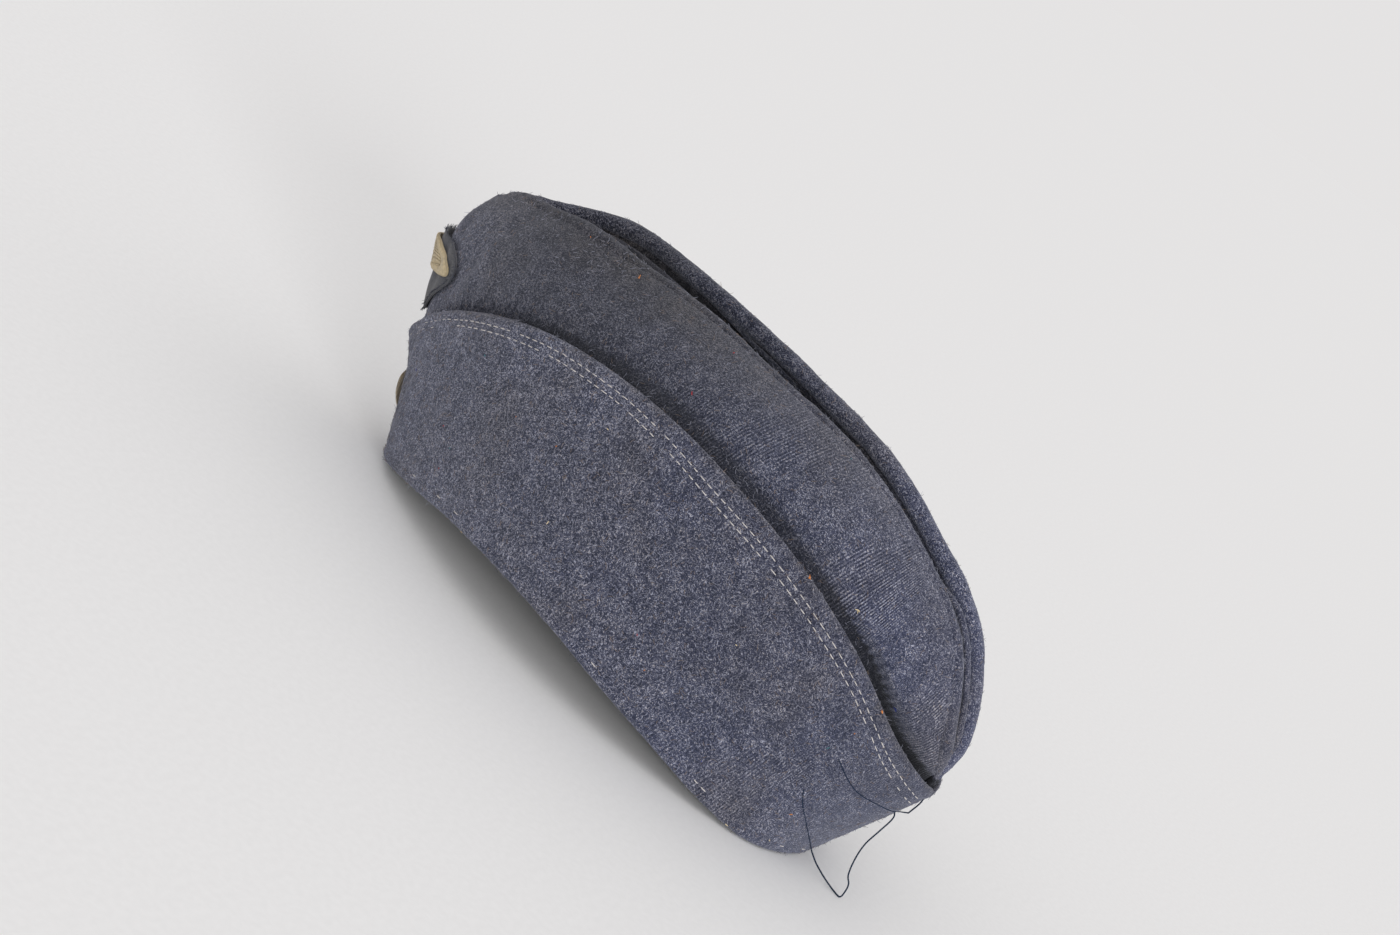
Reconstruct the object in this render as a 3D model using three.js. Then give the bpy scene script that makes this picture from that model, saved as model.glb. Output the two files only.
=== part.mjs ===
// A field-grey-blue wool side cap, standing on its own rim.
// Millimetres; +Z up, the front of the cap towards -Y, the wearer's left towards +X.
import * as THREE from 'three';

// ---- Driving dimensions -------------------------------------------------------------------
const CROWN_CLOTH = 2;          // one ply of felted wool
const TURNUP_CLOTH = 3;         // the turn-up is two thinner plies
const FOLD_CLOTH = 1.4;         // the strip folded down between the two top ridges
const PATCH_CLOTH = 1;          // cut cloth under the badge
const BADGE_THREAD = 0.6;       // raised embroidery of the badge
const SEAM = 0.3;               // clear space kept between neighbouring pieces
const RIM_LIP = 2.4;            // how thick the turned hem is under the crown
const SETTLE = 1;               // the hem gives this much where it stands
const LENGTHWISE_SHIFT = 4.9;   // brings the middle of the cap's length to the origin

const FOLD_DEPTH = 26;          // how far the top strip is tucked down between the ridges
const FOLD_TIGHTNESS = 5;       // in a narrow place, its depth over the square of its room
const LOBE_DROP = 5;            // the middle fold stays this much under the ridges,
const LOBE_DROP_SHARE = 0.3;    // and in a shallow place this share of the depth
const LOBE_AT_FRONT = -0.5;     // where the middle fold stands between the ridges, as a share
const LOBE_AT_BACK = 0.45;      // of half their distance: it crosses over half-way along
const FOLD_FRONT = 0.05;        // where along the cap the strip begins and ends
const FOLD_BACK = 0.965;

const ROSETTE_RADIUS = 9;
const ROSETTE_THICK = 1.8;
const ROSETTE_HEIGHT = 21;      // of its centre above the rim
const ROSETTE_SIDES = 24;

const CROWN_STEPS = 40;         // facets along one side, front seam to back seam
const FOLD_STEPS = 36;
const UNDER_STEPS = 4;          // facets up the crown behind the turn-up
const PANEL_STEPS = 7;          // facets up the crown above the turn-up
const TURNUP_STEPS = 7;
const PATCH_STEPS = 16;         // facets across the badge's cut cloth
const OVAL_STEPS = 12;          // and across the badge on it

// The left half of the cap, one row for each rib, from the front seam to the back seam.
// rim, edge, crest: where the rib meets the hem, the turn-up's top edge and the top ridge;
// gap: how far the turn-up stands off the crown at its top edge;
// swell, brow: how far the crown panel bulges in its lower and its upper part;
// belly: how far the turn-up bulges half-way up.
const RIBS = [
  { rim: [0, -111, 0], edge: [0, -135, 38], crest: [0, -139, 103], gap: 1, swell: 0, brow: 19, belly: -5 },
  { rim: [25, -100, 4], edge: [24, -120, 58], crest: [10, -119, 114], gap: 2, swell: 7, brow: 11, belly: 1 },
  { rim: [41, -77, 10], edge: [39, -96, 76], crest: [21, -93, 124], gap: 4, swell: 7, brow: 7, belly: 2 },
  { rim: [53, -52, 16], edge: [50, -67, 90], crest: [22, -60, 127], gap: 5, swell: 6, brow: 6, belly: 2 },
  { rim: [61, -25, 19], edge: [56, -35, 98], crest: [23, -24, 128], gap: 6, swell: 6, brow: 6, belly: 2 },
  { rim: [64, 3, 19], edge: [59, -1, 101], crest: [21, 11, 127], gap: 6, swell: 6, brow: 6, belly: 2 },
  { rim: [61, 31, 15], edge: [56, 32, 98], crest: [17, 44, 125], gap: 6, swell: 6, brow: 6, belly: 2 },
  { rim: [54, 58, 10], edge: [50, 65, 91], crest: [14, 77, 116], gap: 7, swell: 6, brow: 6, belly: 2 },
  { rim: [43, 83, 4], edge: [40, 95, 79], crest: [13, 109, 101], gap: 8, swell: 5, brow: 5, belly: 2 },
  { rim: [27, 105, 0], edge: [25, 120, 62], crest: [11, 129, 74], gap: 9, swell: 3, brow: 3, belly: 1 },
  { rim: [0, 113, 0], edge: [0, 136, 51], crest: [0, 133, 56], gap: 2, swell: 0, brow: 0, belly: 0 },
];

// The badge's cut cloth and its plain raised oval on the front of the crown: a row for each
// height above the floor, with the reach to either side.
const PATCH_ROWS = [
  { height: 50, reach: 4 },
  { height: 57, reach: 9 },
  { height: 64, reach: 15 },
  { height: 71, reach: 20 },
  { height: 78, reach: 19.5 },
  { height: 83, reach: 14 },
];
const OVAL_ROWS = [
  { height: 65.2, reach: 6 },
  { height: 67, reach: 12 },
  { height: 70, reach: 16.5 },
  { height: 74, reach: 16.8 },
  { height: 77, reach: 12 },
  { height: 78.8, reach: 6 },
];
const FRONT_TURN = 0.09;        // how far round the cap its front goes, of a whole turn

// The rosette's half section: a raised ring at the edge and a button in the middle, as shares of
// its radius and thickness.
const ROSETTE_PROFILE = [
  { out: 0, up: 0 },
  { out: 1, up: 0 },
  { out: 1, up: 0.4 },
  { out: 0.9, up: 0.7 },
  { out: 0.72, up: 0.55 },
  { out: 0.5, up: 0.75 },
  { out: 0.3, up: 1 },
  { out: 0, up: 1 },
];

// ---- Curves round the cap -----------------------------------------------------------------
// Round the whole cap: 0 is the front seam, 0.5 the back seam, and below 0 the right side.
function roundTheCap(pointOf) {
  const left = RIBS.map(pointOf);
  const right = left.slice(1, -1).reverse().map((p) => new THREE.Vector3(-p.x, p.y, p.z));
  const curve = new THREE.CatmullRomCurve3([...left, ...right], true, 'catmullrom', 0.5);
  return (t) => curve.getPoint((t + 1) % 1);
}

const edgeCurve = roundTheCap((rib) => new THREE.Vector3(...rib.edge));
const crestCurve = roundTheCap((rib) => new THREE.Vector3(...rib.crest));
const rawRim = roundTheCap((rib) => new THREE.Vector3(...rib.rim));
// single measures ride in y and z, which the mirrored half keeps
const bulges = roundTheCap((rib) => new THREE.Vector3(0, rib.swell, rib.brow));
const gapAndBelly = roundTheCap((rib) => new THREE.Vector3(0, rib.gap, rib.belly));

function rimCurve(t) {
  const p = rawRim(t);
  p.z = Math.max(0, p.z - SETTLE);
  return p;
}

function along(curve, t) {
  const step = 1e-3;
  return curve(t + step).sub(curve(t - step)).normalize();
}

// ---- Cloth surfaces: t runs round the cap, v runs up it ------------------------------------
// The turn-up's outside: v = 0 at the hem, 1 at its top edge.
function turnup(t, v) {
  const run = along(edgeCurve, t);
  const out = new THREE.Vector3(run.y, -run.x, 0).normalize();
  const belly = 4 * v * (1 - v) * gapAndBelly(t).z;
  return rimCurve(t).lerp(edgeCurve(t), v).addScaledVector(out, belly);
}

// Outward normal of a surface, laid level at the hem so that the hem's underside is flat.
function outward(surface, t, v) {
  const dt = 1e-3;
  const dv = 1e-2;
  const upright = 0.25;
  const round = surface(t + dt, v).sub(surface(t - dt, v));
  const up = surface(t, v + dv).sub(surface(t, v - dv));
  const normal = round.cross(up).normalize();
  normal.z *= THREE.MathUtils.smoothstep(v, 0, upright);
  return normal.normalize();
}

// The crown's outside: v = 0 to 1 behind the turn-up, 1 to 2 from there to the top ridge.
function crown(t, v) {
  const gap = gapAndBelly(t).y;
  const { y: swell, z: brow } = bulges(t);
  const under = Math.min(v, 1);
  const standOff = TURNUP_CLOTH + 2 * SEAM + (gap - 2 * SEAM) * under * under;
  const behind = turnup(t, under).addScaledVector(outward(turnup, t, under), -standOff);
  if (v <= 1) return behind;
  const crest = crestCurve(t);
  const rise = crest.clone().sub(behind);
  const out = along(crestCurve, t).cross(rise).normalize();
  const low = behind.clone().addScaledVector(rise, 1 / 3).addScaledVector(out, swell);
  const high = behind.clone().addScaledVector(rise, 2 / 3).addScaledVector(out, brow);
  return new THREE.CubicBezierCurve3(behind, low, high, crest).getPoint(Math.min(v, 2) - 1);
}

// The crown's outward normal; at the very top, the one just under it.
function crownNormal(t, v) {
  const highest = 1.985;
  return outward(crown, t, Math.min(v, highest));
}

// ---- Solids: closed profiles lofted along the cap -------------------------------------------
// rings holds one closed profile for each station, all with as many points; rungs pairs the
// profile's corners across the cloth, to fill the loft's two ends.
function loft(rings, rungs) {
  const count = rings[0].length;
  const triangles = [];
  const quad = (a, b, c, d) => {
    if (a !== b) triangles.push([a, b, c]);
    if (c !== d) triangles.push([a, c, d]);
  };
  for (let i = 0; i + 1 < rings.length; i += 1) {
    for (let k = 0; k < count; k += 1) {
      const here = i * count + k;
      const beside = i * count + ((k + 1) % count);
      quad(here, here + count, beside + count, beside);
    }
  }
  const last = (rings.length - 1) * count;
  for (let k = 0; k + 1 < rungs.length; k += 1) {
    const [outer, inner] = rungs[k];
    const [nextOuter, nextInner] = rungs[k + 1];
    quad(outer, nextOuter, nextInner, inner);
    quad(last + inner, last + nextInner, last + nextOuter, last + outer);
  }
  return facingOut(rings.flat(), triangles);
}

// Rungs of a profile that lists one face of the cloth and then the other, back again.
function facingRungs(perFace) {
  return Array.from({ length: perFace }, (_, k) => [k, 2 * perFace - 1 - k]);
}

// The solid with its faces turned outwards, whichever way round it was lofted.
function facingOut(points, triangles) {
  let volume = 0;
  for (const [a, b, c] of triangles) {
    volume += points[a].dot(points[b].clone().cross(points[c]));
  }
  const faces = volume > 0 ? triangles : triangles.map(([a, b, c]) => [a, c, b]);
  const geometry = new THREE.BufferGeometry();
  const positions = points.flatMap((p) => [p.x, p.y, p.z]);
  geometry.setAttribute('position', new THREE.Float32BufferAttribute(positions, 3));
  geometry.setIndex(faces.flat());
  return geometry;
}

function mirrored(geometry) {
  const copy = geometry.clone().scale(-1, 1, 1);
  const index = copy.getIndex();
  for (let k = 0; k < index.count; k += 3) {
    const second = index.getX(k + 1);
    index.setX(k + 1, index.getX(k + 2));
    index.setX(k + 2, second);
  }
  return copy;
}

const spread = (from, to, steps) => Array.from(
  { length: steps + 1 },
  (_, i) => THREE.MathUtils.lerp(from, to, i / steps),
);

// Everything left of the centre seam stays half a seam's width clear of it.
function keepLeft(ring) {
  for (const p of ring) p.x = Math.max(p.x, SEAM / 2);
  return ring;
}

// ---- Turn-up: a two-ply band whose hem is folded in under the crown --------------------------
function turnupRing(t) {
  const lipTop = RIM_LIP / (edgeCurve(t).z - rimCurve(t).z);
  const lipReach = TURNUP_CLOTH + 2 * SEAM + CROWN_CLOTH;
  const at = (v, depth) => turnup(t, v).addScaledVector(outward(turnup, t, v), -depth);
  const heights = spread(0, 1, TURNUP_STEPS).slice(1);
  const outside = [0, lipTop, ...heights].map((v) => at(v, 0));
  const inside = [lipTop, ...heights].map((v) => at(v, TURNUP_CLOTH)).reverse();
  return keepLeft([...outside, ...inside, at(lipTop, lipReach), at(0, lipReach)]);
}

function turnupHalf() {
  // the lip's inner corner and the corner above it share the rung of one outer corner
  const [hem, lip, ...wall] = facingRungs(TURNUP_STEPS + 2).map(([k, across]) => [k, across + 1]);
  const rungs = [hem, lip, [lip[0], lip[1] - 1], ...wall.map(([k, across]) => [k, across - 1])];
  return loft(spread(0, 0.5, CROWN_STEPS).map(turnupRing), rungs);
}

// ---- Crown: one ply from inside the hem up to the top ridge ----------------------------------
function crownRing(t) {
  const rise = edgeCurve(t).z - rimCurve(t).z;
  const foot = (RIM_LIP + SEAM) / rise;
  const heights = [...spread(foot, 1, UNDER_STEPS), ...spread(1, 2, PANEL_STEPS).slice(1)];
  const outside = heights.map((v) => crown(t, v));
  const inside = heights.map((v, i) => (
    outside[i].clone().addScaledVector(crownNormal(t, v), -CROWN_CLOTH)
  ));
  return keepLeft([...outside, ...inside.reverse()]);
}

function crownHalf() {
  const perFace = UNDER_STEPS + PANEL_STEPS + 1;
  return loft(spread(0, 0.5, CROWN_STEPS).map(crownRing), facingRungs(perFace));
}

// ---- Top fold: the strip tucked down between the ridges, with a fold standing in its middle ---
// A quarter wave from one level stretch to the next, upright at its outer end.
function quarterWave(from, corner, to, steps) {
  return new THREE.QuadraticBezierCurve(from, corner, to).getPoints(steps);
}

// The strip's middle line across the cap: x sideways, y down into the fold.
function foldLine(halfWidth, share) {
  const crossed = THREE.MathUtils.smoothstep(share, 0.25, 0.75);
  const lobe = THREE.MathUtils.lerp(LOBE_AT_FRONT, LOBE_AT_BACK, crossed) * halfWidth;
  const line = [];
  for (const side of [1, -1]) {
    const ridge = side * halfWidth;
    const valley = (ridge + lobe) / 2;
    const wall = (valley + lobe) / 2;
    const room = Math.abs(valley - wall);
    const deep = Math.min(FOLD_DEPTH, FOLD_TIGHTNESS * room * room);
    const drop = Math.min(LOBE_DROP, LOBE_DROP_SHARE * deep);
    const half = (deep + drop) / 2;
    const point = (x, y) => new THREE.Vector2(x, y);
    const part = [
      ...quarterWave(point(ridge, 0), point(ridge, deep), point(valley, deep), 4),
      ...quarterWave(point(valley, deep), point(wall, deep), point(wall, half), 3).slice(1),
      ...quarterWave(point(wall, half), point(wall, drop), point(lobe, drop), 3).slice(1),
    ];
    line.push(...(side > 0 ? part : part.reverse().slice(1)));
  }
  return line;
}

function foldRing(t) {
  const seam = crestCurve(t).addScaledVector(crownNormal(t, 2), -(CROWN_CLOTH + SEAM));
  const run = along(crestCurve, t).setX(0).normalize();
  const down = new THREE.Vector3(0, run.z, -run.y);
  const line = foldLine(seam.x - FOLD_CLOTH / 2, 2 * t);
  const middle = new THREE.Vector3(0, seam.y, seam.z);
  const layer = (offset) => line.map((p, i) => {
    const ahead = line[Math.min(i + 1, line.length - 1)];
    const behind = line[Math.max(i - 1, 0)];
    const turn = new THREE.Vector2(behind.y - ahead.y, ahead.x - behind.x).normalize();
    const x = p.x + turn.x * offset;
    return middle.clone().addScaledVector(down, p.y + turn.y * offset).setX(x);
  });
  return [...layer(FOLD_CLOTH / 2), ...layer(-FOLD_CLOTH / 2).reverse()];
}

function topFold() {
  const stations = spread(FOLD_FRONT / 2, FOLD_BACK / 2, FOLD_STEPS);
  const rings = stations.map(foldRing);
  return loft(rings, facingRungs(rings[0].length / 2));
}

// ---- Badge and rosette -----------------------------------------------------------------------
// A patch that lies on the front of the crown, from one side of the seam to the other.
// The value between two others at which a rising measure comes to what is wanted.
function solve(measure, wanted, from, to) {
  let [low, high] = [from, to];
  for (let halving = 0; halving < 18; halving += 1) {
    const middle = (low + high) / 2;
    if (measure(middle) < wanted) low = middle;
    else high = middle;
  }
  return (low + high) / 2;
}

// Where on the crown's front a point lies, from its height and its reach to the left.
function onFront(reach, height) {
  const upAt = (t) => solve((v) => crown(t, v).z, height, 1, 2);
  const turn = solve((t) => crown(t, upAt(t)).x, Math.abs(reach), 0, FRONT_TURN);
  return { t: Math.sign(reach) * turn, v: upAt(turn) };
}

function frontPatch(rows, clear, thick, steps) {
  const rings = rows.map(({ height, reach }) => {
    const across = spread(-reach, reach, steps).map((side) => onFront(side, height));
    const layer = (offset) => across.map(({ t, v }) => (
      crown(t, v).addScaledVector(crownNormal(t, v), offset)
    ));
    return [...layer(clear + thick), ...layer(clear).reverse()];
  });
  return loft(rings, facingRungs(steps + 1));
}

function rosetteBody() {
  const points = ROSETTE_PROFILE.map(({ out, up }) => (
    new THREE.Vector2(out * ROSETTE_RADIUS, up * ROSETTE_THICK)
  ));
  return new THREE.LatheGeometry(points, ROSETTE_SIDES);
}

// ---- The cap -----------------------------------------------------------------------------------
function wool(color) {
  return new THREE.MeshStandardMaterial({ color, roughness: 0.95, metalness: 0 });
}

function piece(name, geometry, material) {
  const mesh = new THREE.Mesh(geometry, material);
  mesh.name = name;
  return mesh;
}

const cap = new THREE.Group();
cap.position.y = LENGTHWISE_SHIFT;

const fieldGrey = 0x4b4c58;
const shadedGrey = 0x43444f;
const darkBlueGrey = 0x2d3340;
const tan = 0xa8966f;
const ochre = 0x8a6d3a;

const crownShape = crownHalf();
const turnupShape = turnupHalf();
cap.add(piece('crown_left', crownShape, wool(fieldGrey)));
cap.add(piece('crown_right', mirrored(crownShape), wool(fieldGrey)));
cap.add(piece('crown_fold', topFold(), wool(shadedGrey)));
cap.add(piece('turnup_left', turnupShape, wool(fieldGrey)));
cap.add(piece('turnup_right', mirrored(turnupShape), wool(fieldGrey)));

const patchClear = 1.5 * SEAM;
const patchShape = frontPatch(PATCH_ROWS, patchClear, PATCH_CLOTH, PATCH_STEPS);
cap.add(piece('badge_cloth', patchShape, wool(darkBlueGrey)));
const ovalClear = patchClear + PATCH_CLOTH + 3 * SEAM;
const ovalShape = frontPatch(OVAL_ROWS, ovalClear, BADGE_THREAD, OVAL_STEPS);
cap.add(piece('badge', ovalShape, wool(tan)));

const rosette = piece('rosette', rosetteBody(), wool(ochre));
const rosetteUp = ROSETTE_HEIGHT / edgeCurve(0).z;
const rosetteFacing = outward(turnup, 0, rosetteUp);
rosette.position.copy(turnup(0, rosetteUp)).addScaledVector(rosetteFacing, 3 * SEAM);
rosette.quaternion.setFromUnitVectors(new THREE.Vector3(0, 1, 0), rosetteFacing);
cap.add(rosette);

export default cap;
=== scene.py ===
"""A field-grey-blue wool side cap, standing on its rim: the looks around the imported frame.

Metres, in the frame's own axes: the front of the cap towards -Y, the wearer's left towards +X and
up towards +Z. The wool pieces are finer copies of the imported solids, with the cloth's waves and
puckers in their meshes. Stitches, nap, lint and the loose thread are strands laid on them.
"""

import math
import random

import bmesh
import bpy
from mathutils import Matrix, Vector, noise
from mathutils.bvhtree import BVHTree
from mathutils.kdtree import KDTree


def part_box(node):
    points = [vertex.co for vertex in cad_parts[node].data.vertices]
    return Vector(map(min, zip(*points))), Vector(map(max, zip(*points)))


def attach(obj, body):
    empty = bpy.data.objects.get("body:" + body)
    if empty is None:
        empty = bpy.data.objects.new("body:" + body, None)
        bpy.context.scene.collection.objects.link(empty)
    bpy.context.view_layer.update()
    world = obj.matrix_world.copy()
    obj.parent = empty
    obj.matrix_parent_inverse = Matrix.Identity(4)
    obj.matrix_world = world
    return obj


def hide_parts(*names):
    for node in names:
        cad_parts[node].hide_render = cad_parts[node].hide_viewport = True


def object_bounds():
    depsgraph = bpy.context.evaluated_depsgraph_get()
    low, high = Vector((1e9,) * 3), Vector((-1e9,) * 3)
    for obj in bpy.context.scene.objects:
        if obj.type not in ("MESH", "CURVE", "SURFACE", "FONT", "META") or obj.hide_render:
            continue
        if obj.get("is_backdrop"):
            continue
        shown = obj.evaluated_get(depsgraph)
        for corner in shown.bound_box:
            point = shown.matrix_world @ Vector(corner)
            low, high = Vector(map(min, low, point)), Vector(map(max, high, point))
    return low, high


MM = 0.001
PAPER = 0.892           # how much light the floor throws back
UP = Vector((0, 0, 1))
random.seed(41)

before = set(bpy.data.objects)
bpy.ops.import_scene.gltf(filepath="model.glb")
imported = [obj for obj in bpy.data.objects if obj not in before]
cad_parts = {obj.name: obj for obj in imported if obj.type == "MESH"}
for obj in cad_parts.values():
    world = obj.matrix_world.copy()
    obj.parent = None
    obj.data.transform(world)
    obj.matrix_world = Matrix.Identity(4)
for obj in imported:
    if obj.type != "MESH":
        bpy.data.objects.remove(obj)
cad_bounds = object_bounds()

# ---- Where the camera stands ----
CAMERA_AT = Vector((0.7682, 0.2777, 0.2971))
CAMERA_TURN = math.radians(20)      # behind the wearer's left
CAMERA_PITCH = math.radians(15)     # looking down
CAMERA_ROLL = math.radians(37.71)   # tilted, so that the cap's nose is high in the view

# ---- Colours, as linear values ----


def srgb(red, green, blue):
    """A colour given as it looks on screen, 0 to 255, as linear red, green, blue and alpha."""

    def linear(level):
        share = level / 255
        return share / 12.92 if share <= 0.04045 else ((share + 0.055) / 1.055) ** 2.4

    return (linear(red), linear(green), linear(blue), 1)


# ---- Shader maths ----
class Value:
    """A socket of a finish's node tree; calculating with it adds Math nodes."""

    def __init__(self, finish, socket):
        self.finish = finish
        self.socket = socket

    def _with(self, operation, first, second):
        return self.finish.node("Math", {"operation": operation}, {0: first, 1: second})

    def __add__(self, other):
        return self._with("ADD", self, other)

    __radd__ = __add__

    def __mul__(self, other):
        return self._with("MULTIPLY", self, other)

    __rmul__ = __mul__

    def __sub__(self, other):
        return self._with("SUBTRACT", self, other)

    def __rsub__(self, other):
        return self._with("SUBTRACT", other, self)

    def between(self, low, high):
        """0 below low, 1 above high, and a smooth step from one to the other."""
        ends = {"Value": self, "From Min": low, "From Max": high}
        return self.finish.node("MapRange", {"interpolation_type": "SMOOTHSTEP"}, ends)


class Finish:
    """One material and the maker of its nodes."""

    def __init__(self, name, roughness, sheen=0.0):
        self.material = bpy.data.materials.new(name)
        self.material.use_nodes = True
        self.tree = self.material.node_tree
        self.shader = self.tree.nodes["Principled BSDF"]
        self.feed("Roughness", roughness)
        self.feed("Specular IOR Level", 0.2)
        self.feed("Sheen Weight", sheen)
        self.feed("Sheen Roughness", 0.6)

    def node(self, kind, settings=None, inputs=None, output=0):
        made = self.tree.nodes.new("ShaderNode" + kind)
        for name, value in (settings or {}).items():
            setattr(made, name, value)
        for key, value in (inputs or {}).items():
            if isinstance(value, Value):
                self.tree.links.new(value.socket, made.inputs[key])
            else:
                made.inputs[key].default_value = value
        return Value(self, made.outputs[output])

    def feed(self, socket, value):
        """Sets one of the shader's own sockets to a value, or links it."""
        if isinstance(value, Value):
            self.tree.links.new(value.socket, self.shader.inputs[socket])
        else:
            self.shader.inputs[socket].default_value = value

    def place(self):
        return self.node("TexCoord", output="Object")

    def attribute(self, name):
        return self.node("Attribute", {"attribute_name": name}, output="Fac")

    def noise(self, place, scale, detail=2.0, distortion=0.0):
        """Soft random patches, about so many to the metre."""
        sizes = {"Vector": place, "Scale": scale, "Detail": detail, "Distortion": distortion}
        return self.node("TexNoise", inputs=sizes)

    def ribs(self, place, direction, scale, distortion, detail_scale=1.0):
        """Soft parallel ribs across a direction."""
        kind = {"wave_type": "BANDS", "bands_direction": direction, "wave_profile": "SIN"}
        sizes = {"Vector": place, "Scale": scale, "Distortion": distortion, "Detail": 1}
        return self.node("TexWave", kind, sizes | {"Detail Scale": detail_scale})

    def turned(self, place, turn, scale):
        """The same place read in turned axes, with what lies there stretched by the scale."""
        sizes = {"Vector": place, "Rotation": turn, "Scale": scale}
        return self.node("Mapping", {"vector_type": "TEXTURE"}, sizes)

    def larger(self, first, second):
        return self.node("Math", {"operation": "MAXIMUM"}, {0: first, 1: second})

    def mix(self, share, first, second, blend="MIX"):
        """Two colours, mixed by a share."""
        settings = {"data_type": "RGBA", "blend_type": blend}
        return self.node("Mix", settings, {0: share, 6: first, 7: second}, output=2)

    def bump(self, height, depth):
        self.feed("Normal", self.node("Bump", inputs={"Height": height, "Distance": depth}))


# ---- Finishes ----
TWILL_PITCH = 1.2 * MM
TWILL_ROUND, TWILL_UP = 0.966, 0.26     # the ribs' slant: its share round the cap and up it
TWILL_BACK = (-0.07, 0.06)              # metres round the cap over which the ribs come to show
FIBRE_LAYERS = ((0.1, 0.1, 0), (0.8, 0.2, 0), (1.6, -0.15, 0), (2.35, 0.1, 0), (0.2, 1.5, 0))
FIBRE_LENGTH = 6        # of a matted fibre, over its thickness
FIBRE_LEVEL = 0.49      # what the layers of fibres come to on average,
LIT_LEVEL = 0.46        # and how light the cloth is there, from its dark to its pale colour


def felt(name, twill, sheen=0.3):
    """Felted wool: matted fibres over a faint diagonal weave, browned where it is worn.

    The attribute "wear" browns it, the tone attribute darkens or lightens it, both as the cloth's
    own uneven tone and as painted light and shade, and "around" is the way round the cap, in
    metres, that the weave follows.
    """
    finish = Finish(name, roughness=0.95, sheen=sheen)
    finish.feed("Sheen Tint", srgb(214, 218, 232))
    place = finish.place()
    curls = finish.node("TexNoise", inputs={"Vector": place, "Scale": 520, "Detail": 1}, output=1)
    curled = finish.node(
        "VectorMath", {"operation": "MULTIPLY_ADD"}, {0: curls, 1: (1.6 * MM,) * 3, 2: place}
    )
    matted, standing = 0, 0
    for turn in FIBRE_LAYERS:
        lying = finish.turned(curled, turn, (1, 1, FIBRE_LENGTH))
        layer = finish.noise(lying, 3100, detail=1, distortion=0.2)
        matted = matted + layer * (1 / len(FIBRE_LAYERS))
        standing = finish.larger(standing, layer.between(0.60, 0.74))
    tufts = finish.noise(place, 1500, detail=2, distortion=0.3)
    mottle = finish.noise(place, 170, detail=3)
    clouds = finish.noise(place, 34, detail=3)
    height = finish.node("SeparateXYZ", inputs={0: place}, output=2)
    across = finish.attribute("around") * TWILL_ROUND - height * TWILL_UP
    on_cloth = finish.node("CombineXYZ", inputs={0: across, 1: height * 0.05})
    ribs = finish.ribs(on_cloth, "X", 2 * math.pi / (20 * TWILL_PITCH), 1.2, detail_scale=0.6)
    bare = finish.noise(place, 26, detail=2).between(0.36, 0.60) * (1 - finish.attribute("wear"))
    bare = bare * (0.35 + 0.65 * finish.noise(place, 300, detail=2).between(0.35, 0.6))
    bare = bare * finish.attribute("around").between(*TWILL_BACK)
    weave = (ribs - 0.5) * bare * twill
    ground = matted.between(0.42, 0.58) * 0.42 + tufts.between(0.32, 0.68) * 0.18
    fibrous = ground + mottle.between(0.30, 0.70) * 0.16 + standing * 0.42 - FIBRE_LEVEL
    contrast = (1.04 - finish.attribute("around") * 2.0) * (1 - bare * (twill * 0.45))
    lit = fibrous * contrast + LIT_LEVEL + weave
    creamy = finish.noise(place, 2300, detail=1).between(0.50, 0.64) * 0.6
    cloth = finish.mix(lit.between(0.0, 0.55), WOOL_DARK, WOOL_MIDDLE)
    cloth = finish.mix(lit.between(0.5, 1.0), cloth, finish.mix(creamy, WOOL_PALE, WOOL_CREAM))
    browned = clouds.between(0.45, 0.75) * 0.25 + finish.attribute("wear") * 0.7
    cloth = finish.mix(browned, cloth, finish.mix(lit.between(0.1, 0.95), WOOL_SOILED, WOOL_BROWN))
    # The tone attribute multiplies in the cloth's own uneven tone and painted light and shade.
    cloth = finish.mix(1.0, cloth, finish.attribute("tone_and_painted_light"), blend="MULTIPLY")
    finish.feed("Base Color", cloth)
    finish.bump(matted * 0.6 + standing * 0.25 + tufts * 0.5 + weave * 0.6, 0.3 * MM)
    return finish.material


def cut_cloth():
    """The smooth dark cloth under the badge."""
    finish = Finish("badge_cloth_dye", roughness=0.95, sheen=0.3)
    place = finish.place()
    nubs = finish.noise(place, 1800, detail=2, distortion=0.3)
    soiled = finish.noise(place, 90, detail=3).between(0.4, 0.7)
    cloth = finish.mix(nubs.between(0.3, 0.7), srgb(15, 18, 28), srgb(46, 50, 64))
    finish.feed("Base Color", finish.mix(soiled * 0.3, cloth, srgb(84, 80, 76)))
    finish.bump(nubs, 0.2 * MM)
    return finish.material


def thread(name, colour, roughness=0.7, sheen=0.1, mottle=0.25):
    """Spun thread or loose fibre, a little uneven in its dye."""
    finish = Finish(name, roughness, sheen)
    uneven = finish.noise(finish.place(), 900, detail=2).between(0.3, 0.7)
    darker = tuple(level * (1 - mottle) for level in colour[:3]) + (1,)
    finish.feed("Base Color", finish.mix(uneven, darker, colour))
    finish.bump(finish.noise(finish.place(), 5000, detail=1), 0.05 * MM)
    return finish.material


def embroidery_ground(name, dark, pale):
    """Close satin thread seen as a body under the loose stitches."""
    finish = Finish(name, roughness=0.6, sheen=0.3)
    place = finish.place()
    threads = finish.ribs(place, "DIAGONAL", 700, 1.5)
    soiled = finish.noise(place, 120, detail=3).between(0.35, 0.7)
    finish.feed("Base Color", finish.mix(threads * 0.6 + soiled * 0.4, dark, pale))
    finish.bump(threads, 0.15 * MM)
    return finish.material


def backdrop():
    """Pale studio paper with the faintest grain."""
    finish = Finish("backdrop_paper", roughness=0.9)
    finish.feed("Specular IOR Level", 0.0)
    grain = finish.noise(finish.place(), 400, detail=2).between(0.2, 0.8)
    dim = (PAPER * 0.985, PAPER * 0.985, PAPER * 0.985, 1)
    pale = (PAPER * 1.015, PAPER * 1.015, PAPER * 1.015, 1)
    finish.feed("Base Color", finish.mix(grain, dim, pale))
    return finish.material


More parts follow.
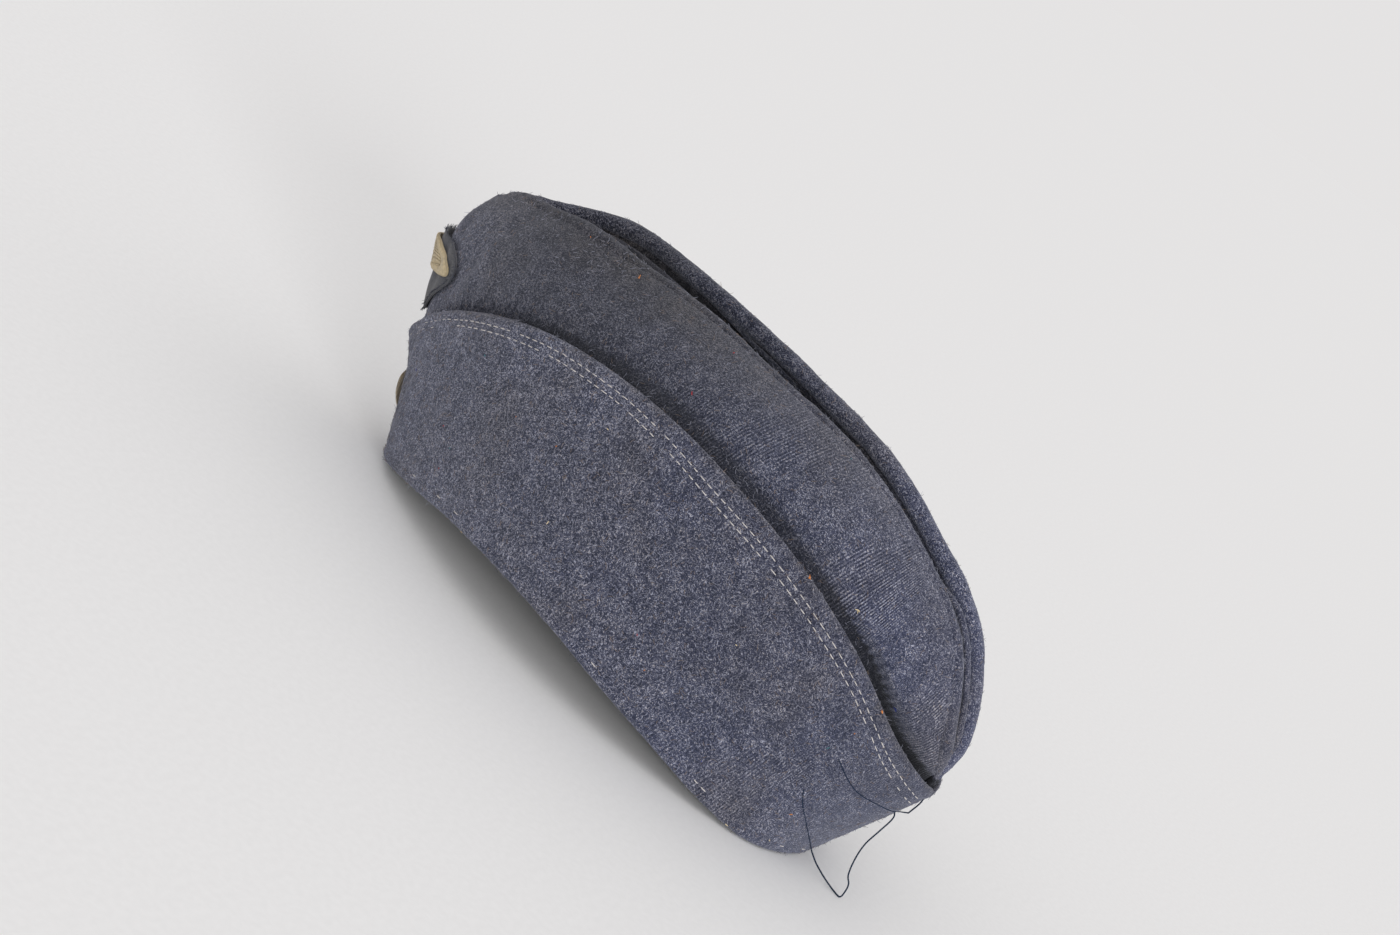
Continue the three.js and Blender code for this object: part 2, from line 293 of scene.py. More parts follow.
WOOL_DARK = srgb(14, 19, 36)
WOOL_MIDDLE = srgb(58, 62, 83)
WOOL_PALE = srgb(150, 153, 170)
WOOL_CREAM = srgb(172, 159, 144)
WOOL_SOILED = srgb(22, 23, 29)
WOOL_BROWN = srgb(116, 109, 104)

crown_felt = felt("crown_felt", twill=0.6)
ridge_felt = felt("ridge_felt", twill=0.0, sheen=0.22)
fold_felt = felt("fold_felt", twill=0.0, sheen=0.08)
turnup_felt = felt("turnup_felt", twill=0.3)
patch_felt = cut_cloth()
seam_thread = thread("seam_thread", srgb(200, 195, 193), mottle=0.2)
loose_thread_dye = thread("loose_thread_dye", srgb(14, 36, 60), sheen=0.0)
pale_nap = thread("pale_nap", srgb(150, 152, 168))
grey_nap = thread("grey_nap", srgb(104, 105, 118))
brown_nap = thread("brown_nap", srgb(128, 112, 102))
badge_ground = embroidery_ground("badge_ground", srgb(140, 124, 92), srgb(176, 158, 122))
badge_satin = thread("badge_satin", srgb(190, 172, 134), roughness=0.5, sheen=0.3)
ochre_satin = thread("ochre_satin", srgb(182, 164, 132), roughness=0.5, sheen=0.3)
slate_satin = thread("slate_satin", srgb(92, 98, 112), roughness=0.5, sheen=0.3)
rosette_ground = embroidery_ground("rosette_ground", srgb(156, 144, 122), srgb(186, 172, 146))


# ---- Lines and surfaces ----
def smooth_line(points, steps):
    """A smooth line through points, with so many steps from each to the next."""
    points = [Vector(point) for point in points]
    ends = [points[0] * 2 - points[1]] + points + [points[-1] * 2 - points[-2]]
    line = []
    for before, start, end, after in zip(ends, ends[1:], ends[2:], ends[3:]):
        for step in range(steps):
            u = step / steps
            bend = (before * 2 - start * 5 + end * 4 - after) * u
            bend += (start * 3 - before - end * 3 + after) * u * u
            line.append((start * 2 + (end - before) * u + bend * u) / 2)
    line.append(points[-1])
    return line


def evenly(line, pitch):
    """The same line with its points a pitch apart."""
    spaced = [line[0].copy()]
    left = pitch
    for start, end in zip(line, line[1:]):
        length = (end - start).length
        while length >= left:
            start = start.lerp(end, left / length)
            spaced.append(start)
            length -= left
            left = pitch
        left -= length
    return spaced


def finder_of(places):
    """A search tree over points."""
    finder = KDTree(len(places))
    for index, place in enumerate(places):
        finder.insert(place, index)
    finder.balance()
    return finder


def last_within(holds, inside, outside, halvings):
    """The last value, on the way from one to another, at which something still holds."""
    for _ in range(halvings):
        middle = (inside + outside) / 2
        if holds(middle):
            inside = middle
        else:
            outside = middle
    return inside


def share_between(value, low, high):
    """0 up to low, 1 from high on, and a smooth step from one to the other."""
    share = min(1, max(0, (value - low) / (high - low)))
    return share * share * (3 - 2 * share)


HALF_WIDTH = 64 * MM
HALF_LENGTH = 141 * MM


def outwards(place):
    """The level way out of the cap's oval plan, fading to nothing over its middle."""
    oval = Vector((place.x / HALF_WIDTH, place.y / HALF_LENGTH, 0))
    way = Vector((place.x / HALF_WIDTH**2, place.y / HALF_LENGTH**2, 0))
    if way.length < 1e-6:
        return Vector((0, 0, 0))
    return way.normalized() * share_between(oval.length, 0.05, 0.4)


def wave(place, length, seed):
    """Slow random waves from -1 to 1."""
    return noise.noise(place / length + Vector((seed, seed * 1.7, seed * 2.3)))


def sag(place):
    """How far soft wear has moved the cloth at a place, the same for every ply there."""
    dents = 0.9 * wave(place, 42 * MM, 3.1) + 0.35 * wave(place, 15 * MM, 7.7)
    dents += 0.12 * wave(place, 6 * MM, 5.2)
    front = share_between(-place.y, 70 * MM, 115 * MM)
    streaks = Vector((place.x, place.y, place.z * 0.22 + place.x * 0.1))
    pulls = front * 1.1 * wave(streaks, 7 * MM, 1.3)
    off_floor = share_between(place.z, 0.0, 6 * MM)
    return outwards(place) * ((dents + pulls) * MM * (0.4 + 0.6 * off_floor))


def way_around(place):
    """Roughly how far round the cap a place lies, for the weave."""
    end = share_between(abs(place.y), 80 * MM, 120 * MM)
    return place.y + math.copysign(end, place.y) * (45 * MM - abs(place.x)) * 0.9


# ---- Wool pieces ----
SEAM_REACH = 5 * MM     # how far from a centre seam its two halves are pressed together,
SEAM_PRESS = 0.9 * MM   # how far at the seam itself,
SEAM_OPEN = 0.02 * MM   # and what stays open between them


def in_scene(name, data):
    """A new object of the scene."""
    made = bpy.data.objects.new(name, data)
    bpy.context.scene.collection.objects.link(made)
    return made


def mesh_of(made):
    """The finished mesh of an object, which is then removed."""
    graph = bpy.context.evaluated_depsgraph_get()
    mesh = bpy.data.meshes.new_from_object(made.evaluated_get(graph))
    bpy.data.objects.remove(made)
    return mesh


def object_of(name, data, material):
    """A new piece that rides on the cap's one body."""
    piece = in_scene(name, data)
    piece.data.materials.clear()
    piece.data.materials.append(material)
    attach(piece, "root")
    return piece


def refined(node, levels):
    """A finer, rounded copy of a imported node's mesh."""
    bm = bmesh.new()
    bm.from_mesh(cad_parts[node].data)
    bmesh.ops.remove_doubles(bm, verts=bm.verts, dist=0.001 * MM)
    widest = math.radians(60)
    bmesh.ops.join_triangles(
        bm, faces=bm.faces, angle_face_threshold=widest, angle_shape_threshold=widest
    )
    mesh = bpy.data.meshes.new(node)
    bm.to_mesh(mesh)
    bm.free()
    rough = in_scene(node, mesh)
    smoothing = rough.modifiers.new("smoothing", "SUBSURF")
    smoothing.levels = smoothing.render_levels = levels
    fine = mesh_of(rough)
    bpy.data.meshes.remove(mesh)
    fine.shade_smooth()
    return fine


def close_seam(mesh):
    """Presses a half's edge at the centre seam up against the other half."""
    for vertex in mesh.vertices:
        out = abs(vertex.co.x)
        near = max(0, 1 - out / SEAM_REACH)
        vertex.co.x = math.copysign(max(SEAM_OPEN, out - SEAM_PRESS * near), vertex.co.x)


def soften(mesh):
    """Moves a mesh as soft wear has moved the cloth."""
    for vertex in mesh.vertices:
        vertex.co += sag(vertex.co)
    mesh.update()


def paint(mesh, wear, tone_and_painted_light):
    """Writes the three attributes that the felt reads."""
    measures = {"wear": wear, "tone_and_painted_light": tone_and_painted_light, "around": way_around}
    for name, measure in measures.items():
        layer = mesh.attributes.new(name, "FLOAT", "POINT")
        layer.data.foreach_set("value", [measure(vertex.co) for vertex in mesh.vertices])


def tree_of(*shapes):
    """One search tree over several meshes."""
    corners, faces = [], []
    for shape in shapes:
        first = len(corners)
        corners.extend(vertex.co.copy() for vertex in shape.vertices)
        faces.extend([first + index for index in face.vertices] for face in shape.polygons)
    return BVHTree.FromPolygons(corners, faces)


# The left top ridge from the front seam to the back seam, in mm.
CREST = (
    (0, -134.1, 103), (10, -114.1, 114), (21, -88.1, 124), (22, -55.1, 127), (23, -19.1, 128),
    (21, 15.9, 127), (17, 48.9, 125), (14, 81.9, 116), (13, 113.9, 101), (11, 133.9, 74),
    (0, 137.9, 56),
)
crest_line = [place * MM for place in smooth_line(CREST, 12)]
crest_finder = finder_of(crest_line)


def nearest_crest(place):
    """The nearest point of the top ridge on a place's own side, as on the left, and how far off."""
    _, index, distance = crest_finder.find(Vector((abs(place.x), place.y, place.z)))
    return crest_line[index], distance


def crown_wear(place):
    """The crown is rubbed brown along its ridges, and all over towards the front."""
    rubbed = 1 - share_between(nearest_crest(place)[1], 2 * MM, 24 * MM)
    front = 1 - share_between(place.y, -60 * MM, 90 * MM)
    rubbed = 0.8 * rubbed * (0.45 + 0.55 * front) + 0.2 * front
    return min(1, rubbed) * (0.8 + 0.4 * wave(place, 18 * MM, 9.1)) * (1 - behind_turnup(place))


def crown_tone_and_painted_light(place):
    """The crown's tone: darker towards the front and the top, uneven at random, with painted light
    at its very front and towards its back, and painted shade behind the turn-up's top edge.
    """
    front = 1 - share_between(place.y, -90 * MM, 110 * MM)
    high = share_between(place.z, 50 * MM, 120 * MM)
    darker_front_and_top = 1.12 - 0.68 * front * (0.55 + 0.45 * high) + 0.08 * wave(place, 25 * MM, 4.4)
    # Painted light: lighter at the very front and towards the back.
    ends = 0.34 * share_between(-place.y, 98 * MM, 124 * MM)
    ends += 0.17 * share_between(place.y, 35 * MM, 85 * MM)
    # Painted shade on the crown behind the turn-up's top edge.
    return (darker_front_and_top + ends) * (1 - along_cap(place, DIMMED) * behind_turnup(place))


def roll_tone_and_painted_light(place):
    """Painted light: the right ridge is painted lighter than the crown beside it, the left one a
    little darker.
    """
    return (1.25 if place.x < 0 else 0.92) * crown_tone_and_painted_light(place)


def roll_wear(place):
    """The right ridge is less rubbed."""
    return (0.2 if place.x < 0 else 0.9) * crown_wear(place)


def crease_tone(place):
    """The crease lies in the ridges' shade."""
    return 0.6 * crown_tone_and_painted_light(place)


def top_fold_tone_and_shade(place):
    """The strip takes the crown's tone, with painted shade deep down between the ridges."""
    ridge, away = nearest_crest(place)
    back = share_between(place.y, 70 * MM, 100 * MM)
    # Painted shade: deeper below the ridge, and towards the back farther from it.
    deep = max(
        share_between(ridge.z - place.z, 5 * MM, 7.5 * MM) * (1 - back),
        share_between(away, 5 * MM, 9 * MM) * back,
    )
    return crown_tone_and_painted_light(place) * (1 - 0.76 * deep)


def turnup_wear(place):
    """The turn-up is rubbed brown along its top edge."""
    rubbed = 1 - share_between(nearest_edge(place).z - place.z, 0.5 * MM, 4 * MM)
    smudged = 0.08 + 0.2 * wave(place, 22 * MM, 2.2)
    return max(0, smudged + rubbed * (0.4 + 0.5 * wave(place, 7 * MM, 3.7)))


def turnup_tone_and_painted_light(place):
    """The turn-up's tone, uneven at random, with painted light towards the front, the back and the
    hem.
    """
    tone_and_painted_light = 0.96 + 0.10 * wave(place, 30 * MM, 6.4) + 0.06 * wave(place, 9 * MM, 8.4)
    # Painted light: lighter towards the front, the back and the hem.
    tone_and_painted_light += 0.20 * share_between(-place.y, 92 * MM, 125 * MM)
    tone_and_painted_light += 0.07 * share_between(place.y, 50 * MM, 95 * MM)
    return tone_and_painted_light + 0.17 * (1 - share_between(place.z, 10 * MM, 48 * MM))


# The turn-up's top edge on the left, from the front seam to the back seam, in mm.
EDGE = (
    (0, -130.1, 38), (24, -115.1, 58), (39, -91.1, 76), (50, -62.1, 90), (56, -30.1, 98),
    (59, 3.9, 101), (56, 36.9, 98), (50, 69.9, 91), (40, 99.9, 79), (25, 124.9, 62), (0, 140.9, 51),
)
edge_line = [place * MM for place in smooth_line(EDGE, 8)]
edge_finder = finder_of([Vector((place.x, place.y, 0)) for place in edge_line])


def nearest_edge(place):
    """The point of the turn-up's top edge that stands nearest in plan."""
    return edge_line[edge_finder.find(Vector((abs(place.x), place.y, 0)))[1]]


def along_cap(place, stops):
    """A measure read off at a place from its values at stops from front to back, in mm."""
    along = place.y / MM
    if along <= stops[0][0]:
        return stops[0][1]
    for (before, first), (after, second) in zip(stops, stops[1:]):
        if along < after:
            return first + (second - first) * (along - before) / (after - before)
    return stops[-1][1]


# Measures of the crown by the turn-up's top edge, each as stops from front to back: how far
# along the cap, in mm, and the measure there.
SHADED = (              # how far above the edge the shade behind the turn-up reaches, in mm
    (-130, 2), (-90, 3), (-50, 5), (-10, 5.5), (30, 4), (70, 3), (92, 3), (108, 5), (120, 6.5),
    (132, 5),
)
SOFT_SHADE = ((60, 1), (100, 0.3))      # the share of that reach over which the shade ends
DIMMED = ((60, 0.64), (95, 0.84), (115, 0.97))      # how much light it takes away
TUCKED = (              # how far the crown is drawn in there, in mm
    (-130, 1), (-50, 2.5), (50, 1.5), (85, 1.5), (105, 4.5), (120, 4.5), (132, 0.5),
)
DRAWN_IN = (            # how far above the edge it starts to be drawn in, in mm
    (-130, 4), (-90, 8), (-50, 12), (30, 10), (80, 6), (108, 7), (125, 8),
)


def behind_turnup(place):
    """1 where the crown lies behind the turn-up's top edge, 0 well above it."""
    reach = along_cap(place, SHADED) * MM
    soft = along_cap(place, SOFT_SHADE)
    above = nearest_edge(place).z + reach - place.z
    return share_between(above, reach * (1 - soft) / 2, reach * (1 + soft) / 2)


def tuck_crown(mesh):
    """Draws the crown in behind the turn-up's top edge, most of all towards the back."""
    for vertex in mesh.vertices:
        place = vertex.co
        deep = along_cap(place, TUCKED) * MM
        over_edge = place.z - nearest_edge(place).z
        drawn = 1 - share_between(over_edge, 0, along_cap(place, DRAWN_IN) * MM)
        lower = share_between(over_edge, -34 * MM, -14 * MM)
        vertex.co -= outwards(place) * (deep * drawn * lower)


PEAK_RISE = 2.2         # mm by which the ridges' front peak is rounded up
LEFT_DROP, RIGHT_LIFT = 2.4, 1.0        # mm by which they lie lower and higher behind it


def ease_ridges(mesh):
    """Rounds up the peak at the front, and lets the left ridge lie a little lower behind it."""
    for vertex in mesh.vertices:
        place = vertex.co
        along = place.y / MM
        front = share_between(along, -121, -98) * (1 - share_between(along, -70, -20))
        high = share_between(place.z, 88 * MM, 112 * MM)
        hand = max(-1, min(1, place.x / (8 * MM)))
        moved = LEFT_DROP if hand > 0 else RIGHT_LIFT
        peak = PEAK_RISE * math.exp(-(((along + 125) / 8) ** 2))
        vertex.co.z += (peak - hand * moved * front) * MM * high


SIDES = {"left": 1, "right": -1}
turnups = {side: refined("turnup_" + side, 3) for side in SIDES}
crowns = {side: refined("crown_" + side, 3) for side in SIDES}
top_fold = refined("crown_fold", 2)
for mesh in (*turnups.values(), *crowns.values()):
    close_seam(mesh)
for mesh in crowns.values():
    tuck_crown(mesh)
for mesh in (*crowns.values(), top_fold):
    ease_ridges(mesh)
for mesh in (*turnups.values(), *crowns.values(), top_fold):
    soften(mesh)

# ---- Stitched rows on the turn-up ------------------------------------------------------------
FROM_SIDE = 0.2         # metres from the middle, well outside the cap
PAST_CLOTH = 0.165      # how far a search ray goes on from there


def on_turnup(tree, side, angle, height):
    """The turn-up's outside at a plan angle and height, if it has cloth there."""
    way = Vector((math.cos(angle) * SIDES[side], math.sin(angle), 0))
    start = Vector((way.x * FROM_SIDE, way.y * FROM_SIDE, height))
    return tree.ray_cast(start, -way, PAST_CLOTH)[0]


BELOW_TOP = ((-125, 5.2), (-95, 4.4), (-40, 4.4), (20, 5.6), (60, 6.6), (115, 6.2))
LOWER_ROW = 2.9 * MM    # below the upper row
HEM_ROW = 4.2 * MM      # above the hem
MID_CLOTH = 24 * MM     # a height at which the turn-up has cloth all the way round,
OVER_TOP = 140 * MM     # one above its top edge
UNDER_HEM = -5 * MM     # and one below its hem
ROW_TURN = 89.4         # degrees from the middle of a half to either end of its rows
ROW_STEPS = 720
ROW_PITCH = 0.5 * MM    # between the points of a finished row


def row_on_turnup(tree, side, below_top=None, above_hem=None):
    """A line round one half of the turn-up, below its upper row of stitches or above its hem."""
    line = []
    for step in range(ROW_STEPS + 1):
        angle = math.radians(-ROW_TURN + 2 * ROW_TURN * step / ROW_STEPS)

        def is_cloth(height):
            return on_turnup(tree, side, angle, height) is not None

        if below_top is not None:
            top = last_within(is_cloth, MID_CLOTH, OVER_TOP, 12)
            along = Vector((0, math.sin(angle) * HALF_LENGTH, 0))
            height = top - along_cap(along, BELOW_TOP) * MM - below_top
        else:
            height = last_within(is_cloth, MID_CLOTH, UNDER_HEM, 12) + above_hem
        place = on_turnup(tree, side, angle, height)
        if place is not None:
            line.append(place)
    return evenly(line, ROW_PITCH)


PUCKERS = {"upper": 0.5, "lower": 0.45, "hem": 0.22}    # mm by which a row draws the cloth in
PUCKER_WIDTH = 1.15     # mm to either side of a row,
PUCKER_END = 4.5        # and where its pull has died away
PUFF = 0.30             # mm by which the cloth swells beside the upper row,
PUFF_AT = 2.7           # so many mm from it
PUFF_WIDTH = 1.3


def drawn_in(place, finders):
    """How far, in mm, the rows of stitches draw the cloth in at a place."""
    sink = 0
    for name, depth in PUCKERS.items():
        distance = finders[name].find(place)[2] / MM
        if distance < PUCKER_END:
            uneven = 0.8 + 0.7 * wave(place, 4.5 * MM, 2.9)
            sink += depth * uneven * math.exp(-((distance / PUCKER_WIDTH) ** 2))
            if name == "upper":
                swell = PUFF * math.exp(-(((distance - PUFF_AT) / PUFF_WIDTH) ** 2))
                sink -= swell * (1 + wave(place, 5 * MM, 6.1))
    return sink


def pucker(mesh, lines):
    """Draws the outside of the turn-up in along its rows of stitches."""
    finders = {name: finder_of(line) for name, line in lines.items()}
    depths = [drawn_in(vertex.co, finders) for vertex in mesh.vertices]
    normals = [vertex.normal.copy() for vertex in mesh.vertices]
    for vertex, normal, sink in zip(mesh.vertices, normals, depths):
        facing_out = share_between(normal.dot(outwards(vertex.co)), 0.1, 0.4)
        vertex.co -= normal * (sink * facing_out * MM)
    mesh.update()


rows = {}
for side, mesh in turnups.items():
    tree = tree_of(mesh)
    rows[side] = {
        "upper": row_on_turnup(tree, side, below_top=0),
        "lower": row_on_turnup(tree, side, below_top=LOWER_ROW),
        "hem": row_on_turnup(tree, side, above_hem=HEM_ROW),
    }
    pucker(mesh, rows[side])

# ---- Rolled ridges along the top ----
ROLL = 3.5 * MM         # half the thickness of the soft roll along each top ridge
ROLL_PITCH = 1 * MM     # between the points of a roll's line
RIDGE_TAPER, EDGE_TAPER, CREASE_TAPER = 26, 18, 22      # points over which a roll's ends thin


def from_ends(index, line, taper):
    """0 at either end of a line, 1 past so many of its points."""
    return share_between(min(index, len(line) - 1 - index) / taper, 0, 1)


def roll_along(name, line, middles, thicknesses):
    """A soft roll of cloth along a line, given its middle and thickness at each place."""
    data = bpy.data.curves.new(name, "CURVE")
    data.dimensions = "3D"
    data.bevel_depth = 1
    data.bevel_resolution = 7
    data.use_fill_caps = True
    spline = data.splines.new("POLY")
    spline.points.add(len(line) - 1)
    for middle, thickness, point in zip(middles, thicknesses, spline.points):
        point.co = (*middle, 1)
        point.radius = thickness
    mesh = mesh_of(in_scene(name, data))
    bm = bmesh.new()
    bm.from_mesh(mesh)
    bmesh.ops.remove_doubles(bm, verts=bm.verts, dist=0.001 * MM)
    bmesh.ops.recalc_face_normals(bm, faces=bm.faces)
    bm.to_mesh(mesh)
    bm.free()
    for vertex in mesh.vertices:
        vertex.co += vertex.normal * (0.16 * MM * wave(vertex.co, 3.2 * MM, 8.8))
    ease_ridges(mesh)
    soften(mesh)
    mesh.shade_smooth()
    return mesh


def ridge_roll(side):
    """The rolled seam that closes a crown panel over the top strip."""
    hand = SIDES[side]
    line = evenly(crest_line + [Vector((0, 136.5, 50)) * MM], ROLL_PITCH)
    middles, thicknesses = [], []
    for index, place in enumerate(line):
        facing = (outwards(place) * 0.6 + UP * 0.8).normalized()
        end = from_ends(index, line, RIDGE_TAPER)
        thick = ROLL * (0.4 + 0.6 * end)
        if hand > 0:
            thick *= 1 - 0.25 * share_between(place.y, 30 * MM, 60 * MM)
        sunk = 1.2 * MM * (1 - end)
        inner = place - facing * (thick * 0.97 + sunk)
        inner.x = max(inner.x, thick * 0.97)
        middles.append((inner.x * hand, inner.y, inner.z))
        thicknesses.append(thick * (1 + 0.12 * wave(place, 11 * MM, 3.3 + hand)))
    return roll_along("ridge_roll", line, middles, thicknesses)


def folded_edge():
    """The thin folded edge of the top strip, beside the left ridge towards the back."""
    line = evenly(crest_line, ROLL_PITCH)
    line = [place for place in line if place.y > 92 * MM and place.z > 60 * MM]
    middles, thicknesses = [], []
    for index, place in enumerate(line):
        before, after = line[max(0, index - 1)], line[min(len(line) - 1, index + 1)]
        rise = Vector((0, before.z - after.z, after.y - before.y)).normalized()
        end = from_ends(index, line, EDGE_TAPER)
        inner = place + rise * ((0.3 - 2.5 * (1 - end)) * MM)
        middles.append((inner.x - 5 * MM, inner.y, inner.z))
        thicknesses.append(1.3 * MM * (0.5 + 0.5 * end))
    return roll_along("folded_edge", line, middles, thicknesses)


IN_GROOVE = (           # the crease from front to back, in mm
    (-22.5, -84, 116), (-20.8, -70, 120.2), (-19.2, -52, 122.2), (-18.8, -36, 121.8),
    (-18.9, -20, 121.0), (-19.2, -6, 120.2), (-20.4, 6, 119), (-23, 16, 116),
)


def groove_crease():
    """A crease of the top strip that lies along the groove, under the right ridge."""
    line = evenly(smooth_line([Vector(place) * MM for place in IN_GROOVE], 8), ROLL_PITCH)
    thicknesses = []
    for index, place in enumerate(line):
        end = from_ends(index, line, CREASE_TAPER)
        thicknesses.append(0.9 * MM * (0.5 + 0.5 * end) * (1 + 0.15 * wave(place, 8 * MM, 2.7)))
    return roll_along("groove_crease", line, line, thicknesses)


rolls = {side: ridge_roll(side) for side in SIDES}
thin_edge = folded_edge()
crease = groove_crease()

for side in SIDES:
    paint(turnups[side], turnup_wear, turnup_tone_and_painted_light)
    paint(crowns[side], crown_wear, crown_tone_and_painted_light)
    paint(rolls[side], roll_wear, roll_tone_and_painted_light)
    piece = object_of("turnup_cloth_" + side, turnups[side], turnup_felt)
    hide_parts("turnup_" + side)
    piece = object_of("crown_cloth_" + side, crowns[side], crown_felt)
    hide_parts("crown_" + side)
    object_of("ridge_roll_" + side, rolls[side], ridge_felt)
paint(thin_edge, roll_wear, roll_tone_and_painted_light)
object_of("folded_edge", thin_edge, ridge_felt)
paint(crease, roll_wear, crease_tone)
object_of("groove_crease", crease, ridge_felt)
paint(top_fold, crown_wear, top_fold_tone_and_shade)
piece = object_of("top_fold_cloth", top_fold, fold_felt)
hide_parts("crown_fold")


# ---- Threads, nap and lint ----
class Strands:
    """Many short threads of one thickness, gathered into one piece."""

    def __init__(self, name, radius, roundness=0):
        self.data = bpy.data.curves.new(name, "CURVE")
        self.data.dimensions = "3D"
        self.data.bevel_depth = radius
        self.data.bevel_resolution = roundness
        self.data.use_fill_caps = True
        self.name = name

    def lay(self, places, radii=None):
        spline = self.data.splines.new("POLY")
        spline.points.add(len(places) - 1)
        for place, point in zip(places, spline.points):
            point.co = (place.x, place.y, max(place.z, self.data.bevel_depth * 1.1), 1)
        if radii:
            spline.points.foreach_set("radius", radii)

    def finished(self, material):
        object_of(self.name, self.data, material)


turnup_trees = {side: tree_of(turnups[side]) for side in SIDES}


def stitch(strands, tree, start, end, proud):
    """One stitch: it comes up out of the cloth, lies on it and goes down again."""
    shoulder = proud * 0.8
    places = []
    for share, lift in ((0, -SUNK), (0.16, shoulder), (0.5, proud), (0.84, shoulder), (1, -SUNK)):
        place, facing, _, _ = tree.find_nearest(start.lerp(end, share))
        places.append(place + facing * lift)
    strands.lay(places, [0.75, 1, 1.05, 1, 0.75])


stitches = Strands("turnup_stitches", 0.18 * MM, roundness=1)
STITCH = 5      # points of a row under one stitch
SUNK = 0.3 * MM         # how deep its ends go into the cloth
for side in SIDES:
    for name, shown in (("upper", 0.97), ("lower", 0.9), ("hem", 0.4)):
        line = rows[side][name]
        index = 2
        while index + STITCH + 2 < len(line):
            length = STITCH + random.choice((-1, 0, 0, 0, 1))
            worn = name == "hem" and wave(line[index], 14 * MM, 5.5) < 0.05
            buried = share_between(-line[index].y, 84 * MM, 116 * MM)
            if random.random() < shown * (1 - 0.5 * buried) and not worn:
                proud = (0.14 - 0.27 * buried) * MM
                start, end = line[index], line[index + length]
                stitch(stitches, turnup_trees[side], start, end, proud)
            index += length + random.choice((2, 2, 3))
stitches.finished(seam_thread)

wool_trees = tree_of(*turnups.values(), *crowns.values(), *rolls.values(), top_fold)


def open_to_view(place, facing):
    """Whether nothing stands over a place on the cloth."""
    start = place + facing * (0.8 * MM)
    return wool_trees.ray_cast(start, facing, 0.3)[0] is None


def places_on(mesh, count):
    """Random places all over a mesh's outside, with the way the cloth faces there."""
    faces = random.choices(mesh.polygons, weights=[face.area for face in mesh.polygons], k=count)
    for face in faces:
        corners = [mesh.vertices[index].co for index in face.vertices]
        weights = [random.random() for _ in corners]
        total = sum(weights)
        shares = [weight / total for weight in weights]
        place = sum((corner * share for corner, share in zip(corners, shares)), Vector())
        if open_to_view(place, face.normal):
            yield place, face.normal.copy()


def fibre(strands, place, facing, length, rise):
    """One curled fibre lying on the cloth, its tip standing off by rise."""
    along = facing.orthogonal().normalized()
    along.rotate(Matrix.Rotation(random.uniform(0, 2 * math.pi), 3, facing))
    aside = facing.cross(along)
    curl = random.uniform(-0.35, 0.35) * length
    strands.lay(
        [
            place - facing * (0.05 * MM),
            place + along * (length * 0.5) + aside * curl * 0.6 + facing * (0.12 * MM + rise * 0.3),
            place + along * (length * 0.95) + aside * curl * 2.0 + facing * rise,
        ],
        [0.8, 1.0, 0.5],
    )


NAP_THICK = 0.07 * MM   # half a loose fibre's thickness
NAP_WIDE, NAP_NARROW = 5200, 500        # fibres on a large piece and on a small one


def nap(name, material, share):
    """Loose fibres of one colour all over the outside."""
    strands = Strands(name, NAP_THICK)
    amounts = [(mesh, NAP_WIDE) for mesh in (*turnups.values(), *crowns.values())]
    amounts += [(mesh, NAP_NARROW) for mesh in (*rolls.values(), top_fold)]
    for mesh, count in amounts:
        for place, facing in places_on(mesh, int(count * share)):
            standing = random.random() < 0.15
            rise = random.uniform(0.5, 1.3) * MM if standing else random.uniform(0.02, 0.22) * MM
            fibre(strands, place, facing, random.uniform(0.9, 2.4) * MM, rise)
    strands.finished(material)


nap("pale_fibres", pale_nap, 0.8)
nap("grey_fibres", grey_nap, 0.8)
nap("brown_fibres", brown_nap, 0.35)

# Specks of lint by colour: the dye, how many are strewn on each piece, and known spots in mm.
LINT = {
    "cream": (srgb(222, 204, 168), 16, ((33.7, 86.1, 88.9),)),
    "orange": (
        srgb(204, 128, 66), 10, ((49.7, 70.7, 90.7), (32.2, 115.2, 68.3), (27.2, -54.5, 122.5)),
    ),
    "red": (srgb(168, 52, 56), 7, ((-3.6, 136, 60.5),)),
    "blue": (srgb(44, 66, 160), 6, ((19.6, 114.5, 67.6),)),
    "teal": (srgb(64, 120, 130), 10, ()),
}
wool_faces = tree_of(*crowns.values(), *turnups.values(), *rolls.values())
for colour, (dye, count, known) in LINT.items():
    strands = Strands("lint_" + colour, 0.18 * MM, roundness=1)
    for spot in known:
        place, facing, _, _ = wool_faces.find_nearest(Vector(spot) * MM)
        for _ in range(3):
            fibre(strands, place, facing, random.uniform(0.6, 1.2) * MM, 0.2 * MM)
    for mesh in (*turnups.values(), *crowns.values()):
        for place, facing in places_on(mesh, count):
            fibre(strands, place, facing, random.uniform(0.4, 1.3) * MM, 0.12 * MM)
    strands.finished(thread("lint_dye_" + colour, dye))

# The loose thread, in mm: a run and its hooked end down the back of the turn-up, and a loop that
# hangs to the floor and lies on the cloth again.
THREAD = 0.29 * MM      # half its thickness
STUCK_RUN = (
    (32.7, 113.5, 45.7), (26.5, 120.1, 40.4), (21, 124.3, 37.9), (12, 130.2, 37),
    (1.2, 134.2, 36.4),
)
STUCK_HOOK = ((-1, 137, 38), (-4, 137.4, 43), (-6, 136.2, 47))
LOOP = (
    (0.6, 131.5, 36.5), (1.1, 134.4, 33.9), (2.6, 134, 26.9), (4.1, 133.4, 20.6),
    (5, 134.2, 14.4), (5.2, 136, 8.5), (4.8, 138.1, 5.9), (5, 138.9, 3.3), (5.6, 138.8, 0.5),
    (5.9, 135.6, 0.6), (5.9, 130.3, 1.6), (5.8, 124.9, 3.2), (5.8, 121, 5.2),
)
LOOP_END = ((9, 119.5, 8), (23.1, 117.3, 17.4), (30, 113.5, 24), (32.9, 110.9, 29.3))


